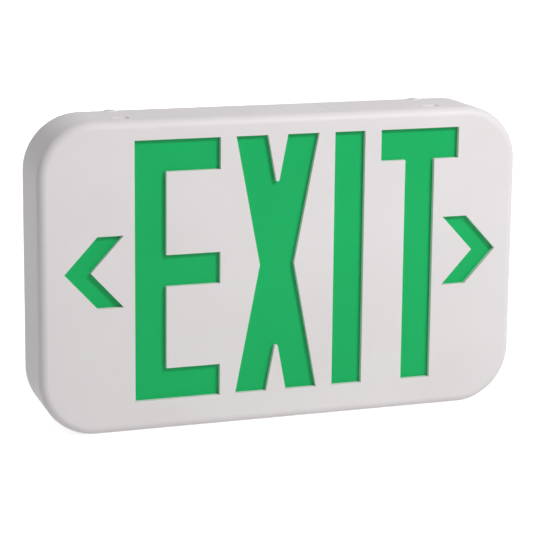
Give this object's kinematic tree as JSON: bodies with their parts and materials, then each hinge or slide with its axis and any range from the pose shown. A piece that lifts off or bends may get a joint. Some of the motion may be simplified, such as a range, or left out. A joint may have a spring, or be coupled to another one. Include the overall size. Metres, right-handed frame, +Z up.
{
  "type": "emergency exit light",
  "caption": "Wall-mounted emergency exit sign with a stencil word and arrows over a green lit panel, on a lift-off housing and back plate.",
  "frame": {"origin": "centre of the flat back that lies on the wall", "axes": "+X to the right seen from the front, +Y into the wall, +Z up; the lit face looks along -Y"},
  "size_m": [0.2932, 0.042, 0.1828],
  "materials": {
    "housing_white": "satin moulded",
    "diffuser_green": "translucent",
    "screw_steel": "plated",
    "button_red": "satin",
    "lens_clear": "translucent",
    "back_white": "satin moulded",
    "tray_white": "matt reflective",
    "board_white": "solder mask",
    "led_yellow": "moulded",
    "board_green": "solder mask",
    "core_iron": "laminated",
    "bobbin_nylon": "moulded",
    "coil_tape": "tape",
    "can_black": "sleeved",
    "film_red": "dipped",
    "relay_blue": "moulded",
    "diode_black": "moulded",
    "resistor_tan": "lacquered",
    "terminal_green": "moulded",
    "terminal_steel": "plated",
    "switch_black": "moulded",
    "led_red": "moulded",
    "battery_wrap": "shrink sleeve",
    "strap_white": "moulded",
    "plug_white": "moulded",
    "lead_red": "insulation",
    "lead_black": "insulation",
    "lead_white": "insulation"
  },
  "bodies": {
    "back_plate": {"back_plate": "back_white", "reflector_tray": "tray_white", "tray_screws": "screw_steel", "led_board_upper": "board_white", "led_board_lower": "board_white", "leds_upper": "led_yellow", "leds_lower": "led_yellow", "main_board": "board_green", "board_screws": "screw_steel", "transformer_core": "core_iron", "transformer_bobbin": "bobbin_nylon", "transformer_coil": "coil_tape", "filter_capacitors": "can_black", "film_capacitor": "film_red", "transfer_relay": "relay_blue", "rectifier_diodes": "diode_black", "resistors": "resistor_tan", "terminal_block": "terminal_green", "terminal_screws": "terminal_steel", "test_switch": "switch_black", "pilot_led": "led_red", "battery_pack": "battery_wrap", "battery_strap": "strap_white", "strap_screws": "screw_steel", "battery_plug": "plug_white", "battery_lead_red": "lead_red", "battery_lead_black": "lead_black", "led_header_upper": "plug_white", "led_header_lower": "plug_white", "led_leads_upper": "lead_white", "led_leads_lower": "lead_white"},
    "housing": {"front_housing": "housing_white", "canopy_blank": "housing_white", "diffuser_panel": "diffuser_green", "diffuser_screws": "screw_steel", "pilot_lens": "lens_clear"},
    "test_button": {"test_button": "button_red"}
  },
  "joints": [
    {"name": "housing_off", "type": "slide", "parent": "back_plate", "child": "housing", "axis": [0, -1, 0], "range_m": [0, 0.06]},
    {"name": "test_press", "type": "slide", "parent": "housing", "child": "test_button", "axis": [-1, 0, 0], "range_m": [0, 0.0015], "stiffness_N_per_m": 500, "springref_m": -0.002}
  ]
}
